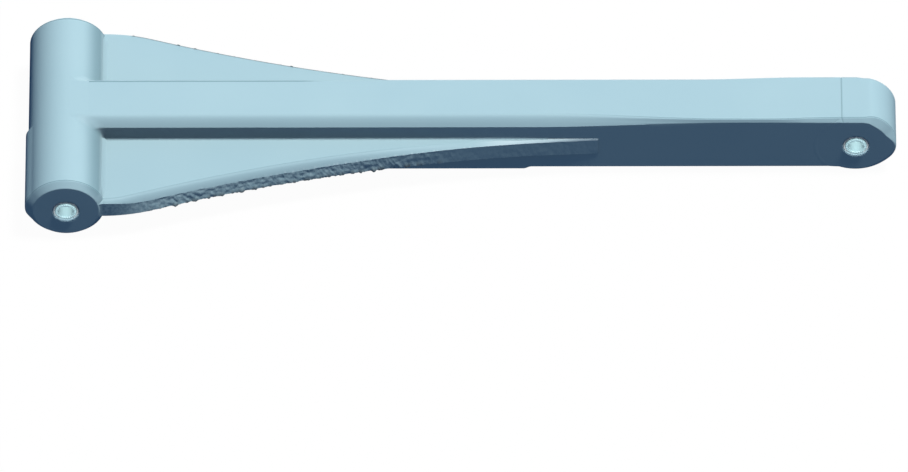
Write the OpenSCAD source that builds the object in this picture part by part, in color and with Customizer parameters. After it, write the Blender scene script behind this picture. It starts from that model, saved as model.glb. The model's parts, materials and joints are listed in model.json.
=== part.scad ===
// Gate opener link arm: a welded arm with a wide pivot barrel at one end and a round eye at the other.
// +X runs from the barrel to the eye, both bores run along Y, +Z is up.
// The origin is the middle of the barrel's bore. "Front" is the -Y side and "rear" is the +Y side.

/* [Arm] */
// Distance between the two pivot centres
pivot_pitch = 430; // [400:1:520]

/* [Pivot barrel] */
// Outer diameter of the barrel
barrel_d = 42; // [42:0.5:46]
// Length of the barrel along its bore
barrel_len = 126; // [110:1:150]
// Chamfer round each end of the barrel
barrel_chamfer = 3; // [1:0.5:4]

/* [Eye boss] */
// Outer diameter of the eye boss
eye_d = 44; // [43:0.5:48]
// Chamfer round each end of the eye boss
eye_chamfer = 2.5; // [1:0.5:3.5]

/* [Box beam] */
// Width of the beam, and length of the eye boss along its bore
beam_w = 32; // [28:1:36]
// Height of the beam
beam_h = 41; // [38:0.5:41]
// Wall thickness of the beam
beam_wall = 3; // [2:0.5:4]
// Outer corner radius of the beam
beam_corner = 5; // [4:0.5:6]

/* [Gusset plates] */
// Thickness of the two gusset plates
gusset_t = 12; // [8:1:14]
// How far each plate's end stays short of the barrel's end face
gusset_inset = 1; // [0.5:0.5:4]
// Where the plate's rounded shoulder turns into its long sweep, from the barrel's centre
shoulder_x = 46; // [40:1:60]
// Radius of the rounded shoulder
shoulder_r = 87; // [80:1:120]
// How far past the beam's side the sweep's circle would reach
sweep_dip = 0.3; // [0.2:0.1:0.8]

/* [Pivot sleeves and bushes] */
// Outer diameter of the plain bushes, and of the holes that they are pressed into
bush_od = 14; // [13.5:0.5:16]
// Bore of the bushes
bush_id = 12; // [12:0.1:12.4]
// Clearance per side between a sleeve and its bushes
sleeve_gap = 0.05; // [0.02:0.01:0.09]
// Hole through each sleeve for its pivot bolt
bolt_hole_d = 8.4; // [6.6:0.1:9]
// How far each sleeve stands out of its bore at either end
sleeve_proud = 1.2; // [0.5:0.1:2]
// Thickness of the wiper ring at each mouth
wiper_t = 1.5; // [1:0.5:3]
// Length of each bush in the barrel
barrel_bush_len = 24; // [15:1:30]
// Length of each bush in the eye
eye_bush_len = 12; // [8:0.5:12]

/* [Welds] */
// Leg of the welds between the barrel and the gusset plates
barrel_weld = 4.5; // [3:0.5:6]
// Leg of the welds along the beam
beam_weld = 3; // [2:0.5:4]

/* [Hidden] */
FRONT = -1;
REAR = 1;
paint = [0.62, 0.80, 0.87];
zinc = [0.80, 0.82, 0.84];
bronze = [0.70, 0.55, 0.32];
polymer = [0.86, 0.90, 0.90];

barrel_r = barrel_d / 2;
eye_r = eye_d / 2;
bush_r = bush_od / 2;
beam_side = beam_w / 2;
beam_top = beam_h / 2;
plate_top = gusset_t / 2;
gusset_reach = barrel_len / 2 - gusset_inset;
sleeve_r = bush_id / 2 - sleeve_gap;
sleeve_end = 0.5; // chamfer on the sleeve's outer edges
through = 1; // how far a cutting solid runs past what it cuts

// The shoulder's arc meets the gusset's end square on, above the plate's root at the barrel.
root_x = sqrt(barrel_r * barrel_r - plate_top * plate_top);
shoulder_angle = asin((shoulder_x - root_x) / shoulder_r);
shoulder_y = gusset_reach - shoulder_r * (1 - cos(shoulder_angle));
// The sweep leaves the shoulder at the same slope, and flattens out just inside the beam's side.
sweep_r = (shoulder_y - beam_side + sweep_dip) / (1 - cos(shoulder_angle));
// A step too small to see keeps the ends of the two arcs apart.
arc_step = 0.05;
sweep_centre = [
    shoulder_x + sweep_r * sin(shoulder_angle),
    shoulder_y - arc_step + sweep_r * cos(shoulder_angle)
];
// x where the sweep is a given distance from the arm's centre line
function sweep_x(y) = sweep_centre[0] - sqrt(sweep_r * sweep_r - pow(sweep_centre[1] - y, 2));
tip_x = sweep_x(beam_side + sweep_dip);
weld_tip_x = sweep_x(beam_side + beam_weld + 0.5);

$fn = 96;

// A solid of revolution about Y, from a profile of [radius, y] points
module turned(profile) {
    rotate([-90, 0, 0]) rotate_extrude() polygon(profile);
}

// A prism along X, from a shape drawn in Y and Z
module along_x(x0, x1) {
    translate([x0, 0, 0]) rotate([90, 0, 90]) linear_extrude(x1 - x0) children();
}

// A prism along Y, from a shape drawn in X and Z
module along_y(y0, y1) {
    translate([0, y1, 0]) rotate([90, 0, 0]) linear_extrude(y1 - y0) children();
}

module rod(r, length) {
    rotate([90, 0, 0]) cylinder(r = r, h = length, center = true);
}

// A ring about Y between two radii, from y0 to y1
module ring(inner_r, outer_r, y0, y1) {
    turned([[inner_r, y0], [outer_r, y0], [outer_r, y1], [inner_r, y1]]);
}

module on_side(side) {
    if (side == REAR) children();
    else mirror([0, 1, 0]) children();
}

module top_and_bottom() {
    children();
    mirror([0, 0, 1]) children();
}

module at_eye() {
    translate([pivot_pitch, 0, 0]) children();
}

// A round hub with chamfered ends and one straight bore for its bushes
module hub(outer_r, length, chamfer) {
    half = length / 2;
    turned([
        [bush_r, -half], [outer_r - chamfer, -half], [outer_r, chamfer - half],
        [outer_r, half - chamfer], [outer_r - chamfer, half], [bush_r, half]
    ]);
}

module barrel_tube() {
    color(paint) hub(barrel_r, barrel_len, barrel_chamfer);
}

module eye_boss() {
    color(paint) at_eye() hub(eye_r, beam_w, eye_chamfer);
}

module rounded_rectangle(w, h, r) {
    square([w, h - 2 * r], center = true);
    square([w - 2 * r, h], center = true);
    for (sx = [-1, 1], sy = [-1, 1])
        translate([sx * (w / 2 - r), sy * (h / 2 - r)]) circle(r);
}

// Box tube, cut to fit the barrel at one end and the eye boss at the other
module box_beam() {
    inner_corner = beam_corner - beam_wall;
    color(paint) difference() {
        along_x(through, pivot_pitch - through)
            rounded_rectangle(beam_w, beam_h, beam_corner);
        along_x(0, pivot_pitch)
            rounded_rectangle(beam_w - 2 * beam_wall, beam_h - 2 * beam_wall, inner_corner);
        rod(barrel_r, barrel_len);
        at_eye() rod(eye_r, barrel_len);
    }
}

// Plan of one gusset plate: the shoulder's arc, then the long sweep down to the beam's side
module gusset_outline() {
    intersection() {
        translate([0, beam_side]) square([shoulder_x, gusset_reach]);
        union() {
            translate([0, beam_side]) square([root_x, gusset_reach - beam_side]);
            translate([root_x, gusset_reach - shoulder_r]) circle(shoulder_r, $fn = 360);
        }
    }
    difference() {
        translate([shoulder_x, beam_side])
            square([tip_x - shoulder_x, shoulder_y - beam_side]);
        translate(sweep_centre) circle(sweep_r, $fn = 720);
    }
}

module gusset(side) {
    color(paint) on_side(side) difference() {
        translate([0, 0, -plate_top]) linear_extrude(gusset_t) gusset_outline();
        rod(barrel_r, 2 * barrel_len);
    }
}

// Fillet welds in the two corners between the barrel and one gusset plate
module gusset_barrel_weld(side) {
    reach = asin(plate_top / barrel_r) + barrel_weld / barrel_r * 180 / PI;
    color(paint) on_side(side) top_and_bottom() difference() {
        along_y(beam_side + beam_weld, barrel_len / 2 - barrel_chamfer) polygon([
            [root_x - through, plate_top],
            [root_x + barrel_weld, plate_top],
            [barrel_r * cos(reach), barrel_r * sin(reach)]
        ]);
        rod(barrel_r, 2 * barrel_len);
    }
}

// Fillet welds along the two corners between the beam and one gusset plate
module gusset_beam_weld(side) {
    color(paint) on_side(side) top_and_bottom() difference() {
        along_x(root_x, weld_tip_x) polygon([
            [beam_side, plate_top],
            [beam_side + beam_weld, plate_top],
            [beam_side, plate_top + beam_weld]
        ]);
        rod(barrel_r + beam_weld, 2 * barrel_len);
    }
}

// Fillet welds round the barrel where the beam's flat sides meet it, above and below the plates
module barrel_beam_weld() {
    height = beam_top - beam_corner - plate_top;
    color(paint) for (side = [FRONT, REAR]) on_side(side) top_and_bottom() intersection() {
        turned([
            [barrel_r, beam_side], [barrel_r + beam_weld, beam_side],
            [barrel_r, beam_side + beam_weld]
        ]);
        translate([0, beam_side, plate_top]) cube([barrel_d, beam_weld, height]);
    }
}

// Welds that fill the groove round the eye boss's chamfers, flush with the beam's flat sides
module eye_beam_weld() {
    height = 2 * (beam_top - beam_corner);
    color(paint) at_eye() for (side = [FRONT, REAR]) on_side(side) intersection() {
        turned([
            [eye_r - eye_chamfer, beam_side], [eye_r, beam_side - eye_chamfer],
            [eye_r, beam_side]
        ]);
        translate([-eye_d, 0, -height / 2]) cube([eye_d, beam_w, height]);
    }
}

// Hollow sleeve that the pivot bolt clamps, and that the arm turns on
module sleeve(length) {
    half = length / 2 + sleeve_proud;
    hole_r = bolt_hole_d / 2;
    color(zinc) turned([
        [hole_r, -half], [sleeve_r - sleeve_end, -half], [sleeve_r, sleeve_end - half],
        [sleeve_r, half - sleeve_end], [sleeve_r - sleeve_end, half], [hole_r, half]
    ]);
}

// Plain bush pressed in behind the wiper ring, in a hub of the given length
module bush(side, hub_len, length) {
    mouth = hub_len / 2 - wiper_t;
    color(bronze) on_side(side) ring(bush_id / 2, bush_r, mouth - length, mouth);
}

// Wiper ring flush with the hub's end face
module wiper(side, hub_len) {
    mouth = hub_len / 2;
    color(polymer) on_side(side) ring(bush_id / 2, bush_r, mouth - wiper_t, mouth);
}

barrel_tube();
box_beam();
gusset(FRONT);  // gusset_front
gusset(REAR);  // gusset_rear
eye_boss();
barrel_beam_weld();
gusset_barrel_weld(FRONT);  // gusset_front_barrel_weld
gusset_barrel_weld(REAR);  // gusset_rear_barrel_weld
gusset_beam_weld(FRONT);  // gusset_front_beam_weld
gusset_beam_weld(REAR);  // gusset_rear_beam_weld
eye_beam_weld();
sleeve(barrel_len);  // barrel_sleeve
bush(FRONT, barrel_len, barrel_bush_len);  // barrel_bush_front
bush(REAR, barrel_len, barrel_bush_len);  // barrel_bush_rear
wiper(FRONT, barrel_len);  // barrel_wiper_front
wiper(REAR, barrel_len);  // barrel_wiper_rear
at_eye() sleeve(beam_w);  // eye_sleeve
at_eye() bush(FRONT, beam_w, eye_bush_len);  // eye_bush_front
at_eye() bush(REAR, beam_w, eye_bush_len);  // eye_bush_rear
at_eye() wiper(FRONT, beam_w);  // eye_wiper_front
at_eye() wiper(REAR, beam_w);  // eye_wiper_rear
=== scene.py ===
"""The looks of a gate opener link arm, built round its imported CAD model. Lengths are in metres, in
the model's own frame: +X from the barrel to the eye, the front at -Y, +Z up."""
import json
import math

import bmesh
import bpy
import numpy as np
from mathutils import Euler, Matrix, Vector, noise


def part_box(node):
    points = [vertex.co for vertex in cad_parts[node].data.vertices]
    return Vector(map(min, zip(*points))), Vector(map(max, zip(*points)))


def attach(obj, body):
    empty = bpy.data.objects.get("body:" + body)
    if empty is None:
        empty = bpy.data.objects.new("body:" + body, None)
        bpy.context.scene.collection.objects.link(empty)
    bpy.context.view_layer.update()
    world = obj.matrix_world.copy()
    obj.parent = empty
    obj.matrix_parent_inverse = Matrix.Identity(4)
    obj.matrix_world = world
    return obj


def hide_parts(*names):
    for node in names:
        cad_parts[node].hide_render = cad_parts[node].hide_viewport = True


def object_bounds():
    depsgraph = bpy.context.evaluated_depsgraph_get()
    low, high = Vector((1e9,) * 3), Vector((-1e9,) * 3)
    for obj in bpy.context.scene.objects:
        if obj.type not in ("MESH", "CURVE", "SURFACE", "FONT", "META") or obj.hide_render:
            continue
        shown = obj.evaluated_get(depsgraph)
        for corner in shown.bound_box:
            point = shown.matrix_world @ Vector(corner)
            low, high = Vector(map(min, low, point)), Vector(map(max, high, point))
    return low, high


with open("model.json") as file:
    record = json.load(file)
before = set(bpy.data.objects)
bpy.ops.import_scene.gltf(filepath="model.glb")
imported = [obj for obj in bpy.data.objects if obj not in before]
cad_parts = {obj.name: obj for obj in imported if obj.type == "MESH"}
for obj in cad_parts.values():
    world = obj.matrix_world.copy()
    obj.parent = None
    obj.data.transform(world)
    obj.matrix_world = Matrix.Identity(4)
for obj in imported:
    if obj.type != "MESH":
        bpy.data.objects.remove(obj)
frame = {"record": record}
cad_low, cad_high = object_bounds()

MM = 0.001

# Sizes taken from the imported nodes
barrel_low, barrel_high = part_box("barrel_tube")
BARREL_R = (barrel_high.x - barrel_low.x) / 2
BARREL_HALF = barrel_high.y
eye_low, eye_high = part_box("eye_boss")
EYE_X = (eye_high.x + eye_low.x) / 2
EYE_R = (eye_high.x - eye_low.x) / 2
_, beam_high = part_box("box_beam")
BEAM_SIDE = beam_high.y
BEAM_TOP = beam_high.z
_, gusset_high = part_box("gusset_rear")
GUSSET_REACH = gusset_high.y
GUSSET_TIP = gusset_high.x
PLATE_TOP = gusset_high.z
_, bush_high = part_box("barrel_bush_rear")
BORE_R = bush_high.x
_, sleeve_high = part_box("barrel_sleeve")
SLEEVE_R = sleeve_high.x
MOUNTS = {mount["name"]: mount for mount in frame["record"]["mounts"]}
BOLT_HOLE_R = MOUNTS["barrel_bolt_bore"]["dims"]["r_mm"] * MM

# Sizes that only the looks need, and those of the CAD model that its boxes don't give
BARREL_CHAMFER = 3.0 * MM
SHOULDER_X = 46 * MM  # where the plates' rounded shoulder turns into the long sweep
SHOULDER_R = 87 * MM
SWEEP_DIP = 0.3 * MM  # how far the sweep would end inside the beam's side
BUSH_BORE_R = 6.0 * MM
SOFT_EDGE = 0.35 * MM  # rounding of edges that were broken with a file
LINE_WIDTH = 0.55 * MM  # the thin painted line of shade where a chamfer starts


# ---------------------------------------------------------------- mesh helpers

def smoothstep(low, high, value):
    t = min(max((value - low) / (high - low), 0.0), 1.0)
    return t * t * (3 - 2 * t)


def lerp(a, b, t):
    return a + (b - a) * t


def add_piece(name, shape, material, body, nodes, marks=None, sharp=38):
    """A shown piece that rides on a body and stands for the named CAD nodes.
    shape is (vertices, faces). marks gives the values of paint marks at the vertices, by name.
    Edges that turn by more than sharp degrees are shaded as creases."""
    vertices, faces = shape
    mesh = bpy.data.meshes.new(name)
    mesh.from_pydata([tuple(v) for v in vertices], [], faces)
    for mark, values in (marks or {}).items():
        values = list(values) + [0.0] * (len(vertices) - len(values))
        mesh.attributes.new(mark, "FLOAT", "POINT").data.foreach_set("value", values)
    work = bmesh.new()
    work.from_mesh(mesh)
    bmesh.ops.remove_doubles(work, verts=work.verts, dist=1e-7)
    bmesh.ops.recalc_face_normals(work, faces=work.faces)
    work.to_mesh(mesh)
    work.free()
    mesh.materials.append(material)
    mesh.shade_smooth()
    mesh.set_sharp_from_angle(angle=math.radians(sharp))
    piece = bpy.data.objects.new(name, mesh)
    bpy.context.scene.collection.objects.link(piece)
    weighted = piece.modifiers.new("flat_faces_stay_flat", "WEIGHTED_NORMAL")
    weighted.keep_sharp = True
    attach(piece, body)
    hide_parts(*nodes)


def loft(rings, wrap=False):
    """Vertices and faces of a solid through closed rings with the same number of points each. Its
    ends are closed, or with wrap the last ring joins the first."""
    count = len(rings[0])
    vertices = [point for ring in rings for point in ring]
    faces = []
    last = len(rings) if wrap else len(rings) - 1
    for i in range(last):
        here, there = i * count, ((i + 1) % len(rings)) * count
        for j in range(count):
            k = (j + 1) % count
            faces.append((here + j, here + k, there + k, there + j))
    if not wrap:
        for start, ring in ((0, rings[0]), ((len(rings) - 1) * count, rings[-1])):
            centre = len(vertices)
            vertices.append(tuple(np.mean(np.array(ring), axis=0)))
            faces += [(centre, start + j, start + (j + 1) % count) for j in range(count)]
    return vertices, faces


def mirrored(vertices, axis):
    """The same vertices on the other side of the middle plane across an axis (0 is X)."""
    flipped = [list(v) for v in vertices]
    for v in flipped:
        v[axis] = -v[axis]
    return flipped


def join(*parts):
    """Several (vertices, faces) as one."""
    vertices, faces = [], []
    for part_vertices, part_faces in parts:
        start = len(vertices)
        vertices += list(part_vertices)
        faces += [tuple(start + i for i in face) for face in part_faces]
    return vertices, faces


def rounded(profile, radius, steps):
    """A closed profile with each corner turned into a short arc that eats radius off both sides."""
    points = [np.array(p, float) for p in profile]
    out = []
    for i, corner in enumerate(points):
        before, after = points[i - 1] - corner, points[(i + 1) % len(points)] - corner
        cut = min(radius, 0.45 * np.linalg.norm(before), 0.45 * np.linalg.norm(after))
        start = corner + before / np.linalg.norm(before) * cut
        end = corner + after / np.linalg.norm(after) * cut
        for step in range(steps + 1):
            t = step / steps
            out.append((1 - t) ** 2 * start + 2 * t * (1 - t) * corner + t * t * end)
    return out


def turned(profile_at, centre_x, segments, gap=0.0):
    """A solid of revolution about Y. profile_at(angle) gives the closed profile of (radius, y) there.
    A gap leaves that angle open, as in a wrapped bush."""
    count = segments + (1 if gap else 0)
    rings = []
    for i in range(count):
        angle = gap / 2 + (2 * math.pi - gap) * i / segments
        across, up = math.cos(angle), math.sin(angle)
        rings.append([(centre_x + point[0] * across, point[1], point[0] * up)
                      for point in profile_at(angle)])
    return loft(rings, wrap=not gap)


def add_turned(name, profile_at, centre_x, segments, node):
    """A painted hub on the arm. Its profile has a painted_shade_and_seam value after each radius and y.
    """
    shape = turned(profile_at, centre_x, segments)
    lines = [point[2] for i in range(segments) for point in profile_at(2 * math.pi * i / segments)]
    add_piece(name, shape, PAINT, "arm", [node], {"painted_shade_and_seam": lines})


# ---------------------------------------------------------------- materials

def new_material(name, colour, roughness, metallic=0.0):
    """A material with its Principled shader, its node tree and its object coordinates."""
    material = bpy.data.materials.new(name)
    material.use_nodes = True
    tree = material.node_tree
    shader = tree.nodes["Principled BSDF"]
    shader.inputs["Base Color"].default_value = (*colour, 1)
    shader.inputs["Roughness"].default_value = roughness
    shader.inputs["Metallic"].default_value = metallic
    place = tree.nodes.new("ShaderNodeTexCoord")
    return material, tree, shader, place.outputs["Object"]


def noise_texture(tree, place, scale, detail, stretch=None):
    """Noise in object space, with scale in features per metre. stretch multiplies the coordinates."""
    texture = tree.nodes.new("ShaderNodeTexNoise")
    texture.inputs["Scale"].default_value = scale
    texture.inputs["Detail"].default_value = detail
    if stretch:
        mapping = tree.nodes.new("ShaderNodeMapping")
        mapping.inputs["Scale"].default_value = stretch
        tree.links.new(place, mapping.inputs["Vector"])
        place = mapping.outputs["Vector"]
    tree.links.new(place, texture.inputs["Vector"])
    return texture.outputs["Fac"]


def remap(tree, value, low, high, from_low=0.0, from_high=1.0):
    """Stretches a value between from_low and from_high to lie between low and high."""
    node = tree.nodes.new("ShaderNodeMapRange")
    tree.links.new(value, node.inputs["Value"])
    node.inputs["From Min"].default_value = from_low
    node.inputs["From Max"].default_value = from_high
    node.inputs["To Min"].default_value = low
    node.inputs["To Max"].default_value = high
    return node.outputs["Result"]


def mix_colours(tree, share, a, b):
    """Mixes two colours, each a tuple or a socket."""
    node = tree.nodes.new("ShaderNodeMix")
    node.data_type = "RGBA"
    tree.links.new(share, node.inputs["Factor"])
    for socket, colour in ((node.inputs["A"], a), (node.inputs["B"], b)):
        if isinstance(colour, tuple):
            socket.default_value = (*colour, 1)
        else:
            tree.links.new(colour, socket)
    return node.outputs["Result"]


def bump(tree, height, strength, distance):
    node = tree.nodes.new("ShaderNodeBump")
    node.inputs["Strength"].default_value = strength
    node.inputs["Distance"].default_value = distance
    tree.links.new(height, node.inputs["Height"])
    return node.outputs["Normal"]


def attribute(tree, name):
    node = tree.nodes.new("ShaderNodeAttribute")
    node.attribute_name = name
    return node.outputs["Fac"]


def paint_material():
    """Pale blue satin paint: orange peel and a faint cloudiness; grainy on flame-cut edges, where
    scorched beads show dark. It carries painted shade too: thin dark lines where chamfers start and a
    band on the barrel beside the welds; and the eye's dark seam line and paler paint on the front
    plate's edge."""
    material, tree, shader, place = new_material("pale_blue_paint", (0.45, 0.66, 0.76), 0.5)
    shader.inputs["Specular IOR Level"].default_value = 0.2
    clouds = noise_texture(tree, place, 22, 2)
    specks = noise_texture(tree, place, 650, 4)
    body = mix_colours(tree, clouds, (0.445, 0.668, 0.747), (0.485, 0.708, 0.777))
    grain = remap(tree, specks, 0.0, 1.0, 0.35, 0.65)
    edge = mix_colours(tree, grain, (0.34, 0.53, 0.61), (0.54, 0.75, 0.81))
    coat = mix_colours(tree, attribute(tree, "flame_cut"), body, edge)
    burnt = mix_colours(tree, attribute(tree, "scorch"), coat, (0.16, 0.20, 0.22))
    # painted shade: thin dark lines where chamfers start and the band beside the barrel's welds; also
    # the eye's seam line
    with_painted_shade = mix_colours(tree, attribute(tree, "painted_shade_and_seam"), burnt, (0.17, 0.33, 0.39))
    # paler paint towards the front plate's tip, and pale flecks along its rolled edge
    coated = mix_colours(tree, attribute(tree, "paler_paint"), with_painted_shade, (0.66, 0.86, 0.93))
    tree.links.new(coated, shader.inputs["Base Color"])
    tree.links.new(remap(tree, clouds, 0.46, 0.58), shader.inputs["Roughness"])
    peel = bump(tree, noise_texture(tree, place, 520, 1), 0.25, 0.00004)
    tree.links.new(peel, shader.inputs["Normal"])
    return material


def zinc_material():
    """Bright zinc on a turned sleeve: fine rings round the bore's axis and a slight milkiness. Its
    bore's wall is painted far paler than its ends, as painted light inside the bore.
    """
    material, tree, shader, place = new_material("bright_zinc", (0.72, 0.84, 0.86), 0.5)
    rings = noise_texture(tree, place, 900, 2, stretch=(1, 0.05, 1))
    tree.links.new(remap(tree, rings, 0.24, 0.42), shader.inputs["Roughness"])
    clouds = noise_texture(tree, place, 160, 3)
    ring = mix_colours(tree, clouds, (0.36, 0.56, 0.60), (0.42, 0.62, 0.65))
    # painted light: the bore's wall is far paler than the sleeve's ends
    colour = mix_colours(tree, attribute(tree, "bore"), ring, (0.60, 0.92, 0.97))
    tree.links.new(colour, shader.inputs["Base Color"])
    tree.links.new(bump(tree, rings, 0.15, 0.00002), shader.inputs["Normal"])
    return material


def bronze_material():
    material, tree, shader, place = new_material("oiled_bronze", (0.62, 0.45, 0.24), 0.38, 1.0)
    pores = noise_texture(tree, place, 1400, 3)
    colour = mix_colours(tree, pores, (0.50, 0.35, 0.17), (0.70, 0.52, 0.30))
    tree.links.new(colour, shader.inputs["Base Color"])
    tree.links.new(remap(tree, pores, 0.30, 0.50), shader.inputs["Roughness"])
    tree.links.new(bump(tree, pores, 0.3, 0.00003), shader.inputs["Normal"])
    return material


def polymer_material():
    material, tree, shader, place = new_material("pale_polymer", (0.78, 0.86, 0.87), 0.5)
    grain = noise_texture(tree, place, 900, 2)
    colour = mix_colours(tree, grain, (0.74, 0.83, 0.84), (0.82, 0.89, 0.90))
    tree.links.new(colour, shader.inputs["Base Color"])
    tree.links.new(remap(tree, grain, 0.42, 0.58), shader.inputs["Roughness"])
    tree.links.new(bump(tree, grain, 0.2, 0.00002), shader.inputs["Normal"])
    return material


PAINT = paint_material()
ZINC = zinc_material()
BRONZE = bronze_material()
POLYMER = polymer_material()


# ---------------------------------------------------------------- barrel

LAND_START = -9.3 * MM  # the barrel's outer side stands slightly proud from here to the front end
LAND_HEIGHT = 1.4 * MM
WELD_PAINTED_SHADE = 0.5  # how dark the painted shade is on the barrel beside the welds
SHADE_STARTS = (22, 50)  # degrees from the barrel's top or bottom over which it comes in
SHADE_ENDS = (57, 64)  # and goes again


def land_height(angle, y):
    """How far the raised land on the barrel's outer side stands out at an angle and a place along it."""
    round_share = 1 - smoothstep(math.radians(7), math.radians(30), abs(angle - math.pi))
    along_share = 1 - smoothstep(LAND_START - 0.3 * MM, LAND_START + 0.5 * MM, y)
    return LAND_HEIGHT * round_share * along_share


def hub_profile(half, radius, chamfer, rear_chamfer, slant=1.0):
    """A hub's closed profile of (radius, y, painted_shade_and_seam), with softened edges and a thin
    painted line of shade where each outer chamfer starts. slant is the front chamfer's reach along
    the hub for its depth."""
    mouth = 0.4 * MM
    corners = [(BORE_R, mouth - half), (BORE_R + mouth, -half), (radius - chamfer, -half),
               (radius, chamfer * slant - half), (radius, half - rear_chamfer),
               (radius - rear_chamfer, half), (BORE_R + mouth, half), (BORE_R, half - mouth)]
    steps = 3
    profile = [(r, y, 0.0) for r, y in rounded(corners, SOFT_EDGE, steps)]
    front, rear = 4 * steps + 3, 4 * steps + 4  # where the two chamfers meet the hub's round side
    for i, along in ((rear, -LINE_WIDTH), (front, LINE_WIDTH)):
        r, y, _ = profile[i]
        profile[i] = (r, y, 1.0)
        profile.insert(i if i == rear else i + 1, (r, y + along, 0.0))
    return profile


def painted_weld_shade(angle):
    """How much painted shade darkens the barrel's side, above and below the plates' welds."""
    over = math.degrees(abs(math.atan2(math.cos(angle), abs(math.sin(angle)))))
    near = WELD_PAINTED_SHADE * smoothstep(*SHADE_STARTS, over) * (1 - smoothstep(*SHADE_ENDS, over))
    return near if math.cos(angle) > 0 else 0.0


def barrel_profile(angle):
    profile = hub_profile(BARREL_HALF, BARREL_R, BARREL_CHAMFER, BARREL_CHAMFER)
    middle = len(profile) // 2
    for y in (0.0, LAND_START + 0.5 * MM, LAND_START, LAND_START - 0.3 * MM, LAND_START - MM):
        profile.insert(middle, (BARREL_R, y, 0.0))
    # painted shade on the barrel's side beside the welds, in the same marks as the chamfer lines
    shade = painted_weld_shade(angle)
    out = []
    for r, y, line in profile:
        share = smoothstep(BARREL_R - BARREL_CHAMFER - SOFT_EDGE, BARREL_R, r)
        out.append((r + share * land_height(angle, y), y, max(line, shade * share)))
    return out


add_turned("pivot_barrel", barrel_profile, 0.0, 224, "barrel_tube")


# ---------------------------------------------------------------- beam

CORNER_POINTS = 10  # in each corner of the beam's outline
SIDE_STEPS = 5  # so that the beam's end follows the eye's curve
CORNER_IN = 5.4 * MM  # the rolled corner starts as far in on the beam's top
CORNER_DOWN = 5.1 * MM  # and ends in a crease as far down its side
CORNER_PULL = 3.3 * MM
CHAMFERED_FROM = 255 * MM  # the rolled corners start to turn into chamfers here
CHAMFERED_AT = 360 * MM  # and are thin chamfers here
THIN_CHAMFER = np.array((0.7, 1.8)) * MM  # inwards and down
WIDENS_FROM = 385 * MM  # which widen from here
EYE_CHAMFER = np.array((1.7, 2.1)) * MM  # to these at the eye
REAR_CHAMFER = np.array((1.9, 1.9)) * MM  # the rear top corner is chamfered all along
REAR_SHARP_FROM = 345 * MM  # and runs out towards the eye
REAR_SHARP_AT = 402 * MM
BROKEN_EDGE = np.array((0.3, 0.3)) * MM
LOW_ROUND = 3.9 * MM  # the bottom corners are rounded
LOW_CHAMFERED_FROM = 249 * MM  # up to here, and chamfered from there on
LOW_CHAMFERED_AT = 253 * MM
LOW_CHAMFER = np.array((3.6, 3.6)) * MM
BEAM_BOTTOM = -(BEAM_TOP - 0.4 * MM)


def curved_corner(inwards, down, pull):
    """A corner that leaves the top smoothly and comes down on the side, as (in, down) points."""
    start, middle, end = np.array((0.0, down)), np.array(pull), np.array((inwards, 0.0))
    steps = [i / (CORNER_POINTS - 1) for i in range(CORNER_POINTS)]
    return [(1 - t) ** 2 * start + 2 * t * (1 - t) * middle + t * t * end for t in steps]


def chamfered_corner(chamfer):
    """A chamfer with softened edges, as (in, down) points from the side to the top."""
    inwards, down = chamfer
    soft = min(SOFT_EDGE, 0.4 * min(inwards, down))
    slope = np.array((inwards, -down)) / math.hypot(inwards, down)
    on_side, on_top = np.array((0.0, down)), np.array((inwards, 0.0))
    points = []
    half = CORNER_POINTS // 2
    up_side, along_top = np.array((0.0, -1.0)), np.array((1.0, 0.0))
    for corner, before, after in ((on_side, up_side, slope), (on_top, slope, along_top)):
        start, end = corner - before * soft, corner + after * soft
        for i in range(half):
            t = i / (half - 1)
            points.append((1 - t) ** 2 * start + 2 * t * (1 - t) * corner + t * t * end)
    return points


def blend(first, second, share):
    return [lerp(a, b, share) for a, b in zip(first, second)]


def along(start, end, with_end=True):
    """Even steps from a point to another, without the first, as (y, z) points."""
    return [(lerp(start[0], end[0], i / SIDE_STEPS), lerp(start[1], end[1], i / SIDE_STEPS))
            for i in range(1, SIDE_STEPS + with_end)]


def beam_section(x, shrink=0.0):
    """The beam's closed outline at x, as (y, z) points from the rear side, over the top and round."""
    rolled = curved_corner(CORNER_IN, CORNER_DOWN, (CORNER_PULL, 0.0))
    front_chamfer = lerp(THIN_CHAMFER, EYE_CHAMFER, smoothstep(WIDENS_FROM, EYE_X - 0.5 * EYE_R, x))
    rear_chamfer = lerp(REAR_CHAMFER, BROKEN_EDGE, smoothstep(REAR_SHARP_FROM, REAR_SHARP_AT, x))
    front_corner = blend(rolled, chamfered_corner(front_chamfer),
                         smoothstep(CHAMFERED_FROM, CHAMFERED_AT, x))
    rear_corner = chamfered_corner(rear_chamfer)
    low_corner = blend(curved_corner(LOW_ROUND, LOW_ROUND, (0.0, 0.0)), chamfered_corner(LOW_CHAMFER),
                       smoothstep(LOW_CHAMFERED_FROM, LOW_CHAMFERED_AT, x))
    side = BEAM_SIDE - shrink
    top, bottom = BEAM_TOP - shrink, BEAM_BOTTOM + shrink
    rear_top = [(side - a, top - u) for a, u in rear_corner]
    front_top = [(a - side, top - u) for a, u in reversed(front_corner)]
    rear_bottom = [(side - a, bottom + u) for a, u in low_corner]
    front_bottom = [(-y, z) for y, z in rear_bottom]
    lines_end = [(rear_top[-1][0] - 1.8 * LINE_WIDTH, top), (front_top[0][0] + LINE_WIDTH, top)]
    rear_high, rear_low = (side, PLATE_TOP), (side, -PLATE_TOP)
    front_high, front_low = (-side, PLATE_TOP), (-side, -PLATE_TOP)
    outline = [rear_high] + along(rear_high, rear_top[0], False) + rear_top + lines_end + front_top
    outline += along(front_top[-1], front_high) + along(front_high, front_low)
    outline += along(front_low, front_bottom[0], False) + front_bottom + list(reversed(rear_bottom))
    outline += along(rear_bottom[0], rear_low) + along(rear_low, rear_high, False)
    return outline


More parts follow.
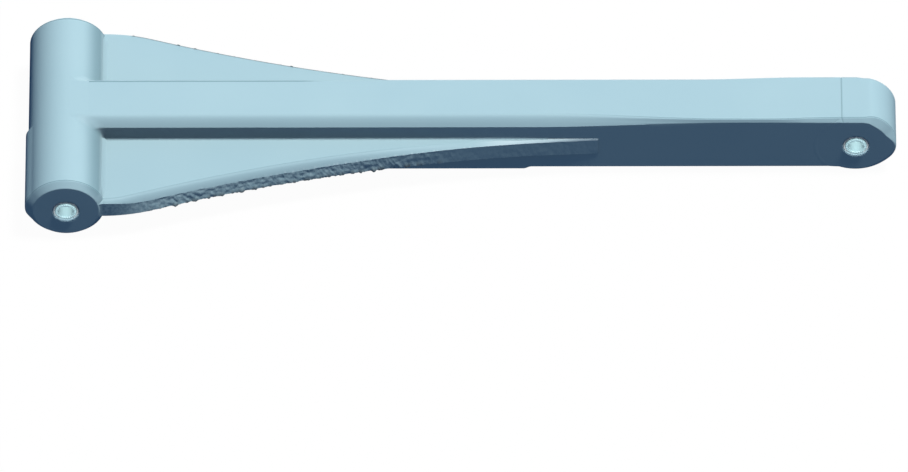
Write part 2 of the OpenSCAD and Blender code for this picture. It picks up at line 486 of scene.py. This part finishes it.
REAR_LINE = SIDE_STEPS + CORNER_POINTS - 1  # the points of the outline where the two top chamfers start
FRONT_LINE = REAR_LINE + 3
# the rear line of painted shade ends here
REAR_LINE_END = 140 * MM


def on_barrel(z, radius):
    return math.sqrt(max(radius * radius - z * z, 0.0))


def beam_rings():
    start = [(on_barrel(z, BARREL_R) - 0.3 * MM, y, z) for y, z in beam_section(0)]
    rings = [start]
    stations = [30, 60, 90, 120] + list(range(125, 171, 5)) + [200, 230, 249, 250, 251, 252, 253]
    stations += list(range(259, 404, 6))
    rings += [[(x * MM, y, z) for y, z in beam_section(x * MM)] for x in stations]
    end_x = EYE_X - on_barrel(BEAM_TOP, EYE_R)
    seam = 0.25 * MM
    for back, shrink in ((seam, 0.0), (0.0, seam)):
        ring = []
        for y, z in beam_section(end_x, shrink):
            ring.append((EYE_X - on_barrel(z, EYE_R) - back, y, z))
        rings.append(ring)
    return rings


def beam_painted_shade_lines(rings):
    """Paints thin lines of shade at the start of the front chamfer, which fades in with it, and of the
    rear one.
    """
    lines = []
    for ring in rings:
        marks = [0.0] * len(ring)
        marks[FRONT_LINE] = smoothstep(CHAMFERED_FROM, CHAMFERED_AT, ring[FRONT_LINE][0])
        x = ring[REAR_LINE][0]
        marks[REAR_LINE] = 1 - smoothstep(REAR_LINE_END - 15 * MM, REAR_LINE_END, x)
        lines += marks
    return lines


rings = beam_rings()
add_piece("box_beam_shell", loft(rings), PAINT, "arm", ["box_beam"],
          {"painted_shade_and_seam": beam_painted_shade_lines(rings)}, sharp=28)


# ---------------------------------------------------------------- eye boss

SEAM_ANGLE = math.pi - math.asin(BEAM_TOP / EYE_R)


def near_seam(angle):
    return max(0.0, 1 - abs(angle - SEAM_ANGLE) / math.radians(0.9))


def eye_outline(angle):
    """Radius of the eye's outline: round, but cut level with the beam's top."""
    up = math.sin(angle)
    flat = BEAM_TOP / up if up > 0.2 else 2 * EYE_R
    if math.cos(angle) < 0:
        return min(EYE_R, flat) - 0.3 * MM * near_seam(angle)
    soft = 0.35 * MM
    return min(EYE_R, flat) - soft * math.log1p(math.exp(-abs(EYE_R - flat) / soft))


SHOULDER_CHAMFER = 3.9 * MM  # the front chamfer is widest on the nose's upper shoulder
TIP_CHAMFER = 0.5 * MM
NOSE_REAR_CHAMFER = 1.1 * MM


def eye_chamfer(angle):
    """The eye's front chamfer: flush with the beam's on the beam's side, and thin at the nose's tip."""
    degrees = math.degrees(math.asin(math.sin(angle)))
    height = EYE_R * math.sin(angle)
    side_chamfer = EYE_CHAMFER[1] if height > 0 else LOW_CHAMFER[1]
    if math.cos(angle) < 0:
        flush = side_chamfer + (height - BEAM_TOP if height > 0 else BEAM_BOTTOM - height)
        return min(max(flush, 0.02 * MM), side_chamfer)
    if height > 0:
        side_chamfer = lerp(SHOULDER_CHAMFER, EYE_CHAMFER[1], smoothstep(52, 82, degrees))
        return lerp(TIP_CHAMFER, side_chamfer, smoothstep(-3, 30, degrees))
    return lerp(TIP_CHAMFER, side_chamfer, smoothstep(-3, 50, -degrees))


def eye_profile(angle):
    chamfer = eye_chamfer(angle)
    nose = smoothstep(0.0, 0.25, math.cos(angle))
    rear_chamfer = lerp(BROKEN_EDGE[1], NOSE_REAR_CHAMFER, nose)
    slant = EYE_CHAMFER[0] / EYE_CHAMFER[1]
    profile = hub_profile(BEAM_SIDE, eye_outline(angle), chamfer, min(chamfer, rear_chamfer), slant)
    line_share = smoothstep(0.5 * MM, 1.5 * MM, chamfer)
    seam = 0.8 * near_seam(angle)
    out = []
    for r, y, line in profile:
        on_rim = smoothstep(0.0, 0.3 * MM, BEAM_SIDE - abs(y))
        # painted lines of shade where the front chamfer starts, and the dark seam line
        out.append((r, y, max(line * line_share * (y < 0), seam * on_rim)))
    return out


add_turned("eye_end", eye_profile, EYE_X, 400, "eye_boss")


# ---------------------------------------------------------------- gusset plates

root_x = on_barrel(PLATE_TOP, BARREL_R)
shoulder_angle = math.asin((SHOULDER_X - root_x) / SHOULDER_R)
shoulder_y = GUSSET_REACH - SHOULDER_R * (1 - math.cos(shoulder_angle))
sweep_r = (shoulder_y - BEAM_SIDE + SWEEP_DIP) / (1 - math.cos(shoulder_angle))
sweep_x = SHOULDER_X + sweep_r * math.sin(shoulder_angle)
sweep_y = shoulder_y + sweep_r * math.cos(shoulder_angle)


def free_edge(x):
    """Half-width of the gusset's free edge at x: flush with the barrel's end where it passes through
    the barrel's chamfer, then a rounded shoulder, then a long sweep."""
    if x < root_x:
        return lerp(BARREL_HALF - 0.25 * MM, GUSSET_REACH, smoothstep(17 * MM, root_x, x))
    if x < SHOULDER_X:
        return GUSSET_REACH - SHOULDER_R + math.sqrt(SHOULDER_R ** 2 - (x - root_x) ** 2)
    return sweep_y - math.sqrt(sweep_r ** 2 - (x - sweep_x) ** 2)


def edge_slope(x):
    """How fast the free edge moves out with x."""
    step = 0.5 * MM
    return (free_edge(x + step) - free_edge(x - step)) / (2 * step)


def where_is(side):
    return "front" if side < 0 else "rear"


CUT_ROWS = 13  # rows of points down the cut face
ROLL_WIDTH = 3.5 * MM  # the front plate's rolled top edge, as wide as this
ROLL_DEPTH = 4.0 * MM  # and as deep as this
DRAFT = 1.0 * MM  # how far the torch cut slants in from the plate's bottom to its top
BURR_WIDTH = 0.7 * MM
BURR_HEIGHT = 0.18 * MM
CUT_FADES = 165 * MM  # the cut face gets smoother from here
CUT_GONE = 225 * MM
ROLL_FADES = 125 * MM  # and the rolled edge flattens from here
ROLL_GONE = 225 * MM


def rough(x, size, seed, height=0.0):
    return noise.noise(Vector((x / size, seed, height)))


def cut_ripple(x, height, side):
    """How far the flame-cut face stands out at x, with height from 1 at its top to -1 at its bottom."""
    seed = 40.0 * side
    lag = 1.2 * MM * (1 - height) ** 2
    strength = smoothstep(24 * MM, 60 * MM, x) * (1 - 0.8 * smoothstep(CUT_FADES, CUT_GONE, x))
    drag = 0.14 * rough(x - lag, 1.1 * MM, seed)
    nibble = 0.34 * rough(x, 2.4 * MM, seed + 21, height * 1.6)
    wander = 0.22 * rough(x, 7 * MM, seed + 9, height * 0.8)
    return strength * (drag + nibble + wander) * MM


def dross(x, side):
    """Height of the beads of slag left under the cut edge at x."""
    strength = smoothstep(34 * MM, 62 * MM, x) * (1 - smoothstep(CUT_FADES, CUT_GONE, x))
    bead = rough(x, 3.6 * MM, 77.0 * side, 3.0) + 0.45 * rough(x, 1.4 * MM, 55.0 * side, 8.0)
    return strength * min(max(0.0, bead + 0.12), 0.7) * 1.7 * MM


def burr(x, side):
    """Height of the thin burr, with a few beads, that the torch left along a sharp top edge."""
    strength = smoothstep(33 * MM, 38 * MM, x) * (1 - smoothstep(165 * MM, 230 * MM, x))
    bead = max(0.0, rough(x, 3.1 * MM, 31.0 * side, 5.0) - 0.30) * 1.7 * MM
    return strength * (BURR_HEIGHT + bead)


def rear_top_edge(x, width):
    """The rear plate's sharp top edge as (distance in, height, cut, scorch, shade line, paler paint)
    rows.
    """
    ridge = burr(x, 1)
    mark = min(ridge / BURR_HEIGHT, 1.0)
    inner = min(BURR_WIDTH, 0.4 * width)
    return [(2 * inner, PLATE_TOP, 0, 0, 0, 0), (inner, PLATE_TOP, 0, 0, 0, 0),
            (0.4 * inner, PLATE_TOP + ridge, mark, mark, 0, 0),
            (0.0, PLATE_TOP - 0.2 * MM, 1, mark, 0, 0)]


def front_top_edge(x, width):
    """The front plate's rolled top edge, down to where the torch cut starts. Towards the tip it
    flattens out and its paint turns paler; pale flecks show along the roll's foot further back."""
    growth = smoothstep(22 * MM, 44 * MM, x)
    flat = smoothstep(ROLL_FADES, ROLL_GONE, x)
    paler_paint = smoothstep(ROLL_GONE - 5 * MM, ROLL_GONE + 18 * MM, x)
    pale_flecks = smoothstep(0.0, 0.3, rough(x, 1.5 * MM, 91.0)) * smoothstep(90 * MM, 140 * MM, x)
    wide = min(ROLL_WIDTH * lerp(0.75, 1, growth), lerp(0.4, 0.8, flat) * width)
    deep = ROLL_DEPTH * lerp(0.4, 1, growth) * lerp(min(1.0, wide / (0.5 * ROLL_WIDTH)), 0.28, flat)
    draft = min(DRAFT * growth, 0.2 * width) * (1 - flat)
    # a painted line of shade where the roll starts
    line = 0.4 * (1 - flat)
    rows = [(draft + wide + min(LINE_WIDTH, 0.1 * width), PLATE_TOP, 0, 0, 0, paler_paint),
            (draft + wide, PLATE_TOP, 0, 0, line, paler_paint)]
    for t, fall in ((0.25, 0.09), (0.5, 0.31), (0.75, 0.62)):
        rows.append((draft + wide * (1 - t), PLATE_TOP - deep * fall, 0, 0, 0, paler_paint))
    return rows + [(draft, PLATE_TOP - deep, 0.3 * (1 - paler_paint), 0, 0, max(paler_paint, 0.8 * pale_flecks))]


def gusset_ring(x, side):
    """One slice across the plate at x: along the top, round the cut edge and back along the bottom.
    Each point has its flame_cut, scorch, painted_shade_and_seam and paler_paint marks."""
    edge_y = free_edge(x)
    normal = Vector((-edge_slope(x), 1.0)).normalized()
    width = edge_y - BEAM_SIDE
    inner = BEAM_SIDE - 0.5 * MM
    rows = [(edge_y - inner, PLATE_TOP, 0, 0, 0, 0)]
    rows += rear_top_edge(x, width) if side > 0 else front_top_edge(x, width)
    low_corner = min(0.8 * MM, 0.3 * width)
    start, cut_top = rows[-1][0], rows[-1][1] - 0.3 * MM
    slag = dross(x, side)
    hang = min(slag / (0.5 * MM), 1.0)
    grainy = 1 - smoothstep(CUT_FADES, CUT_GONE, x)
    for row in range(CUT_ROWS):
        t = row / (CUT_ROWS - 1)
        low = smoothstep(0.6, 1.0, t)
        out = cut_ripple(x, 1 - 2 * t, side) * smoothstep(-0.2, 0.15, t) + 0.6 * slag * low
        z = lerp(cut_top, low_corner - PLATE_TOP, t)
        rows.append((start * (1 - t) - out, z - 0.5 * slag * low, grainy, low * hang, 0, 0))
    rows += [(low_corner, -PLATE_TOP - 0.75 * slag, grainy, hang, 0, 0),
             (3 * low_corner, -PLATE_TOP, 0, 0, 0, 0), (edge_y - inner, -PLATE_TOP, 0, 0, 0, 0)]
    ring = []
    for inwards, z, *_ in rows:
        share = min(1.0, max(0.0, 1 - inwards / max(width, MM)))
        ring.append((x - normal.x * inwards * share, edge_y - inwards * lerp(1, normal.y, share), z))
    return ring, [row[2:] for row in rows]


def gusset_stations():
    start, step = 16 * MM, 0.4 * MM
    count = int((GUSSET_TIP - start) / step)
    return [start + (GUSSET_TIP - start) * i / count for i in range(count + 1)]


def gusset_plate(side):
    rings, marks = [], []
    for x in gusset_stations():
        ring, ring_marks = gusset_ring(x, side)
        rings.append([(px, side * py, pz) for px, py, pz in ring])
        marks += ring_marks
    where = where_is(side)
    names = ("flame_cut", "scorch", "painted_shade_and_seam", "paler_paint")
    add_piece(f"gusset_plate_{where}", loft(rings), PAINT, "arm", [f"gusset_{where}"],
              {name: [mark[i] for mark in marks] for i, name in enumerate(names)})


gusset_plate(-1)
gusset_plate(1)


# ---------------------------------------------------------------- sleeves, bushes and wipers

SERRATIONS = 24
SERRATION_DEPTH = 0.25 * MM


def sleeve_profile_for(half):
    """The sleeve's profile, with serrated end faces half its length from the middle."""
    def profile_at(angle):
        tooth = abs((angle / (2 * math.pi) * SERRATIONS) % 1.0 * 2 - 1)
        end = half - SERRATION_DEPTH * tooth
        corners = [
            (BOLT_HOLE_R, 0.4 * MM - end), (BOLT_HOLE_R + 0.4 * MM, -end),
            (SLEEVE_R - 0.5 * MM, -end), (SLEEVE_R, 0.5 * MM - half),
            (SLEEVE_R, half - 0.5 * MM), (SLEEVE_R - 0.5 * MM, end),
            (BOLT_HOLE_R + 0.4 * MM, end), (BOLT_HOLE_R, end - 0.4 * MM),
        ]
        return rounded(corners, 0.12 * MM, 2)
    return profile_at


def ring_profile_for(inner_r, outer_r, low, high, soft):
    corners = [(inner_r, low), (outer_r, low), (outer_r, high), (inner_r, high)]
    profile = rounded(corners, soft, 4)
    return lambda angle: profile


def pivot(name, centre_x, body):
    """The sleeve, the two bushes and the two wiper rings of one pivot."""
    _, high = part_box(f"{name}_sleeve")
    sleeve = turned(sleeve_profile_for(high.y), centre_x, SERRATIONS * 8)
    # the bore's wall, which gets the painted light
    painted_light_in_bore = [float(math.hypot(x - centre_x, z) < BOLT_HOLE_R + 0.01 * MM) for x, _, z in sleeve[0]]
    add_piece(f"{name}_pivot_sleeve", sleeve, ZINC, body, [f"{name}_sleeve"],
              {"bore": painted_light_in_bore})
    for where in ("front", "rear"):
        low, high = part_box(f"{name}_bush_{where}")
        profile = ring_profile_for(BUSH_BORE_R, BORE_R - 0.01 * MM, low.y, high.y, 0.3 * MM)
        bush = turned(profile, centre_x, 96, gap=math.radians(3))
        add_piece(f"{name}_wrapped_bush_{where}", bush, BRONZE, "arm",
                  [f"{name}_bush_{where}"])
        low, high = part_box(f"{name}_wiper_{where}")
        profile = ring_profile_for(BUSH_BORE_R, BORE_R - 0.02 * MM, low.y, high.y, 0.45 * MM)
        wiper = turned(profile, centre_x, 128)
        add_piece(f"{name}_wiper_ring_{where}", wiper, POLYMER, "arm",
                  [f"{name}_wiper_{where}"])


pivot("barrel", 0.0, "barrel_pivot")
pivot("eye", EYE_X, "eye_pivot")


# ---------------------------------------------------------------- welds, dressed smooth

WELD_REACH = 7.5 * MM  # how far the dressed weld runs out along the beam at most
BEAM_WELD_END = 262 * MM  # where the weld between beam and plate ends


def fillet_ring(start, control, end, into, steps=8):
    """A concave fillet's closed outline: a curve from start to end, and a root sunk in the metal."""
    ring = []
    for i in range(steps + 1):
        t = i / steps
        ring.append(tuple((1 - t) ** 2 * start + 2 * t * (1 - t) * control + t * t * end))
    for point, depth in ((end, 0.3 * MM), (control, 0.7 * MM), (start, 0.3 * MM)):
        ring.append(tuple(point + into.normalized() * depth))
    return ring


def uneven(leg, place, seed):
    """A weld's leg with the slight unevenness that dressing leaves."""
    return leg * (1 + 0.10 * noise.noise(Vector((place / (9 * MM), seed, 0.0))))


def barrel_point(angle, y):
    return Vector((BARREL_R * math.cos(angle), y, BARREL_R * math.sin(angle)))


def gusset_barrel_weld(side):
    """Where the barrel meets the plate's top and bottom. It thins out to its end, which lies over the
    barrel's chamfer at the rear and short of the plate's rolled edge at the front."""
    rings = []
    ends = BARREL_HALF - BARREL_CHAMFER
    last = GUSSET_REACH - (0.3 * MM if side > 0 else 0.8 * ROLL_WIDTH)
    for y in np.linspace(BEAM_SIDE, last, 90):
        past = max(0.0, y - ends)
        radius, top = BARREL_R - past, PLATE_TOP - 0.5 * past
        leg = uneven(1.5 * MM, y, 3 * side) * (1 - 0.95 * smoothstep(last - 7 * MM, last, y))
        root_angle = math.asin(top / radius)
        high_angle = root_angle + 1.9 * leg / radius
        root = Vector((on_barrel(top, radius), side * y, top))
        high = Vector((radius * math.cos(high_angle), side * y, radius * math.sin(high_angle)))
        low = root + Vector((1.3 * leg, 0, 0))
        into = Vector((-root.x, 0, -top)) + Vector((0, 0, -radius))
        rings.append(fillet_ring(low, root.lerp((high + low) / 2, 0.75), high, into))
    upper = loft(rings)
    lower = (mirrored(upper[0], 2), upper[1])
    where = where_is(side)
    add_piece(f"barrel_gusset_weld_{where}", join(upper, lower), PAINT, "arm",
              [f"gusset_{where}_barrel_weld"])


def gusset_beam_weld(side):
    """Where the beam's side meets the plate's top and bottom."""
    rings = []
    for x in np.linspace(root_x + 0.5 * MM, BEAM_WELD_END, 140):
        leg = uneven(min(1.3 * MM, 0.4 * (free_edge(x) - BEAM_SIDE)), x, 5 * side)
        root = Vector((x, side * BEAM_SIDE, PLATE_TOP))
        along_plate, up_beam = Vector((0, side * leg, 0)), Vector((0, 0, leg))
        rings.append(fillet_ring(root + along_plate, root, root + up_beam, -along_plate - up_beam))
    upper = loft(rings)
    lower = (mirrored(upper[0], 2), upper[1])
    where = where_is(side)
    add_piece(f"beam_gusset_weld_{where}", join(upper, lower), PAINT, "arm",
              [f"gusset_{where}_beam_weld"])


def half_outline(top):
    """The upper or lower half of the beam's outline, from one gusset plate round to the other."""
    limit = PLATE_TOP - 0.001 * MM
    chosen = [(y, z) for y, z in beam_section(0) if (z > limit if top else z < -limit)]
    dense = []
    for (y0, z0), (y1, z1) in zip(chosen, chosen[1:]):
        count = max(1, round(math.hypot(y1 - y0, z1 - z0) / (0.7 * MM)))
        dense += [(lerp(y0, y1, i / count), lerp(z0, z1, i / count)) for i in range(count)]
    return dense + [chosen[-1]]


def cope_ring(y, z, outward):
    """The weld's outline where the beam's surface, facing outward, meets the barrel at (y, z)."""
    angle = math.asin(z / BARREL_R)
    root = barrel_point(angle, y)
    low = smoothstep(6 * MM, 13 * MM, abs(z))
    leg = min(max(BARREL_R - 0.2 * MM - root.x, 1.2 * MM), WELD_REACH)
    reach = lerp(1.2 * MM, 3.4 * MM, low)
    round_it = reach * abs(outward.z)
    start_angle = angle + round_it / BARREL_R
    start = barrel_point(start_angle, y + reach * outward.y)
    tangent = Vector((-math.sin(start_angle), 0, math.cos(start_angle))) * round_it
    control = start - tangent - Vector((0, reach * outward.y, 0))
    end = root + Vector((uneven(leg, y + z, 1.0), 0, 0))
    into = -(Vector((root.x, 0, z)).normalized() + outward)
    return fillet_ring(start, control, end, into)


def cope_weld(top):
    """The fillet round half of the beam's end, where it sits on the barrel."""
    points = half_outline(top)
    rings = []
    for i, (y, z) in enumerate(points):
        before, after = points[max(i - 2, 0)], points[min(i + 2, len(points) - 1)]
        outward = Vector((0, after[1] - before[1], before[0] - after[0])).normalized()
        if outward.y * y + outward.z * z < 0:
            outward = -outward
        rings.append(cope_ring(y, z, outward))
    return loft(rings)


def painted_shade_near_barrel(point):
    """The barrel's painted weld shade, fading out where the weld leaves the barrel."""
    off = math.hypot(point[0], point[2]) - BARREL_R
    return painted_weld_shade(math.atan2(point[2], point[0])) * (1 - smoothstep(0.3 * MM, 2.5 * MM, off))


gusset_barrel_weld(-1)
gusset_barrel_weld(1)
gusset_beam_weld(-1)
gusset_beam_weld(1)
cope = join(cope_weld(True), cope_weld(False))
# the weld carries the barrel's painted shade where it meets the barrel
add_piece("barrel_beam_weld_dressed", cope, PAINT, "arm", ["barrel_beam_weld"],
          {"painted_shade_and_seam": [painted_shade_near_barrel(point) for point in cope[0]]})


def eye_side_weld(side):
    """A ground-flush bead over the curved joint between the beam's flat side and the eye."""
    rings = []
    if side < 0:
        low = math.pi - math.asin((BEAM_TOP - EYE_CHAMFER[1] - MM) / EYE_R)
    else:
        low = math.pi - math.asin((BEAM_TOP - BROKEN_EDGE[1] - 0.1 * MM) / (EYE_R + 1.6 * MM))
    high = math.pi + math.asin((-BEAM_BOTTOM - LOW_CHAMFER[1] - MM) / EYE_R)
    # across the bead, in millimetres: how far out from the joint, and how high above the side
    bead = ((-1.6, -0.05), (-1.0, 0.015), (0, 0.03), (1.0, 0.015), (1.6, -0.05), (0, -0.4))
    for angle in np.linspace(low, high, 80):
        sink = 0.06 * (1 - smoothstep(0, 0.08, min(angle - low, high - angle)))
        across = np.array((math.cos(angle), math.sin(angle)))
        ring = []
        for offset, lift in bead:
            x, z = across * (EYE_R + offset * MM)
            ring.append((EYE_X + x, side * (BEAM_SIDE + (lift - sink) * MM), z))
        rings.append(ring)
    return loft(rings)


add_piece("eye_beam_weld_ground", join(eye_side_weld(-1), eye_side_weld(1)), PAINT, "arm",
          ["eye_beam_weld"])


# ---------------------------------------------------------------- camera, light and floor

ELEVATION = math.radians(48)
ROLL = math.radians(-0.095)  # the arm rises slightly towards its eye in the picture
FRAME_WIDTH = 0.4953  # how much of the arm's plane the picture is wide
LENS = 800  # in millimetres, as the sensor is
SENSOR = 36
BORE_LIGHT = {"barrel": 16, "eye": 17}  # watts
SIDE_VIEW_X = 0.2109  # the picture's middle, along the arm
ABOVE_MIDDLE = 0.0608  # and how far the arm lies above the picture's middle


def add_lamp(name, kind, energy, place, turn):
    data = bpy.data.lights.new(name, kind)
    data.energy = energy
    lamp = bpy.data.objects.new(name, data)
    bpy.context.scene.collection.objects.link(lamp)
    lamp.location = place
    lamp.rotation_euler = turn
    return lamp


def add_camera():
    """Looks from the front, high up, through a long lens; the arm lies in the picture's upper half."""
    away = Vector((0, -math.cos(ELEVATION), math.sin(ELEVATION)))
    up = Vector((0, math.sin(ELEVATION), math.cos(ELEVATION)))
    target = Vector((SIDE_VIEW_X, 0, 0)) - up * ABOVE_MIDDLE
    data = bpy.data.cameras.new("camera")
    data.lens = LENS
    data.sensor_width = SENSOR
    camera = bpy.data.objects.new("camera", data)
    bpy.context.scene.collection.objects.link(camera)
    camera.location = target + away * (FRAME_WIDTH * LENS / SENSOR)
    look = Euler((math.pi / 2 - ELEVATION, 0, 0)).to_matrix() @ Euler((0, 0, ROLL)).to_matrix()
    camera.rotation_euler = look.to_euler()
    bpy.context.scene.camera = camera
    return away


def add_floor():
    """A flat white floor that glows, so that the arm's shadow on it stays faint."""
    z, half = cad_low.z, 12.0
    mesh = bpy.data.meshes.new("floor")
    mesh.from_pydata([(-half, -half, z), (half, -half, z), (half, half, z), (-half, half, z)], [],
                     [(0, 1, 2, 3)])
    floor = bpy.data.objects.new("floor", mesh)
    bpy.context.scene.collection.objects.link(floor)
    material, _, shader, _ = new_material("white_floor", (0.03, 0.03, 0.03), 0.9)
    shader.inputs["Specular IOR Level"].default_value = 0.0
    shader.inputs["Emission Color"].default_value = (1.0, 1.0, 1.0, 1)
    shader.inputs["Emission Strength"].default_value = 0.972
    mesh.materials.append(material)
    floor.visible_diffuse = False
    floor.visible_glossy = False
    floor.visible_shadow = False


def add_world():
    """Dim blue light all round, and plain white where the camera looks past the floor."""
    world = bpy.data.worlds.new("studio")
    bpy.context.scene.world = world
    world.use_nodes = True
    tree = world.node_tree
    background = tree.nodes["Background"]
    path = tree.nodes.new("ShaderNodeLightPath")
    seen = mix_colours(tree, path.outputs["Is Camera Ray"], (0.022, 0.052, 0.110), (1.0, 1.0, 1.0))
    tree.links.new(seen, background.inputs["Color"])


def add_suns():
    """The main light, high up and a little to the eye's side; a weak one low behind the arm, and
    one straight at its front."""
    suns = {"overhead_light": ((0.31, 0.0, 1.0), 2.94, 14), "rear_light": ((0.1, 1.0, 0.16), 0.75, 20),
            "front_light": ((0.0, -1.0, 0.0), 0.14, 10)}
    for name, (toward, energy, angle) in suns.items():
        turn = Vector(toward).to_track_quat("Z", "Y").to_euler()
        sun = add_lamp(name, "SUN", energy, toward, turn)
        sun.data.angle = math.radians(angle)
        sun.data.color = (1.0, 0.985, 0.955)


def add_bore_lights(away):
    """A narrow spot on each bore's front mouth, so that the sleeves' ends read as bright metal."""
    distance = 0.6
    for name in ("barrel", "eye"):
        low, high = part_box(f"{name}_sleeve")
        mouth = Vector(((low.x + high.x) / 2, low.y, 0))
        lamp = add_lamp(f"{name}_bore_light", "SPOT", BORE_LIGHT[name], mouth + away * distance,
                        (math.pi / 2 - ELEVATION, 0, 0))
        lamp.scale = (1, math.cos(ELEVATION), 1)
        lamp.data.spot_size = 2 * math.atan(0.95 * BORE_R / distance)
        lamp.data.spot_blend = 0.1
        lamp.data.shadow_soft_size = 0.001


toward_camera = add_camera()
add_floor()
add_world()
add_suns()
add_bore_lights(toward_camera)
bpy.context.scene.cycles.diffuse_bounces = 0
bpy.context.scene.view_settings.view_transform = "Standard"
